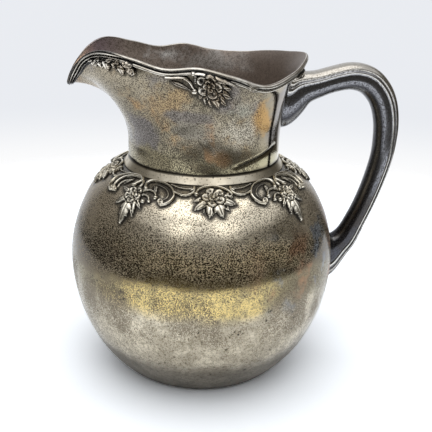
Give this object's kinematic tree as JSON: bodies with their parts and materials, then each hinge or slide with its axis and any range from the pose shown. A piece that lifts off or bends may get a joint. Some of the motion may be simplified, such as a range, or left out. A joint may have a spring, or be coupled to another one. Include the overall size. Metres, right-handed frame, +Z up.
{
  "type": "ewer",
  "caption": "Globular silver-plated ewer with a wavy bordered rim, a curled pouring lip, a hollow bow handle and floral mounts on shoulder and rim.",
  "frame": {"origin": "middle of the standing ring, in the plane of the table", "axes": "+Z up along the body's axis, spout towards -X, handle towards +X, the pictured side towards -Y"},
  "size_m": [0.1965, 0.16, 0.1937],
  "materials": {
    "tarnished_silver": "tarnished silver plate with fine dark pitting and a golden band",
    "base_plate": "dull silver plate",
    "bright_collar": "rubbed bright silver plate",
    "tarnished_neck": "tarnished silver plate with brown and golden patches",
    "handle_dark": "smooth darkened silver plate",
    "rim_border": "rubbed silver plate with dark threads",
    "oxidised_mount": "oxidised silver, bright on the raised parts and black in the recesses"
  },
  "bodies": {
    "root": {"body_lower": "tarnished_silver", "body_upper": "tarnished_silver", "base_disc": "base_plate", "neck_collar": "bright_collar", "neck": "tarnished_neck", "handle_half_near": "handle_dark", "handle_half_far": "handle_dark", "rim_moulding_near": "rim_border", "rim_moulding_far": "rim_border", "rim_rose_near": "oxidised_mount", "rim_rose_far": "oxidised_mount", "spout_leaf_near": "oxidised_mount", "spout_leaf_far": "oxidised_mount", "rim_leaf_near": "oxidised_mount", "rim_leaf_far": "oxidised_mount", "shoulder_rose_spout": "oxidised_mount", "shoulder_rose_near": "oxidised_mount", "shoulder_rose_handle": "oxidised_mount", "shoulder_rose_far": "oxidised_mount", "shoulder_spray_1": "oxidised_mount", "shoulder_spray_2": "oxidised_mount", "shoulder_spray_3": "oxidised_mount", "shoulder_spray_4": "oxidised_mount", "shoulder_garland_1": "oxidised_mount", "shoulder_garland_2": "oxidised_mount", "shoulder_garland_3": "oxidised_mount", "shoulder_garland_4": "oxidised_mount", "shoulder_garland_5": "oxidised_mount", "shoulder_garland_6": "oxidised_mount", "shoulder_garland_7": "oxidised_mount", "shoulder_garland_8": "oxidised_mount"}
  },
  "joints": []
}
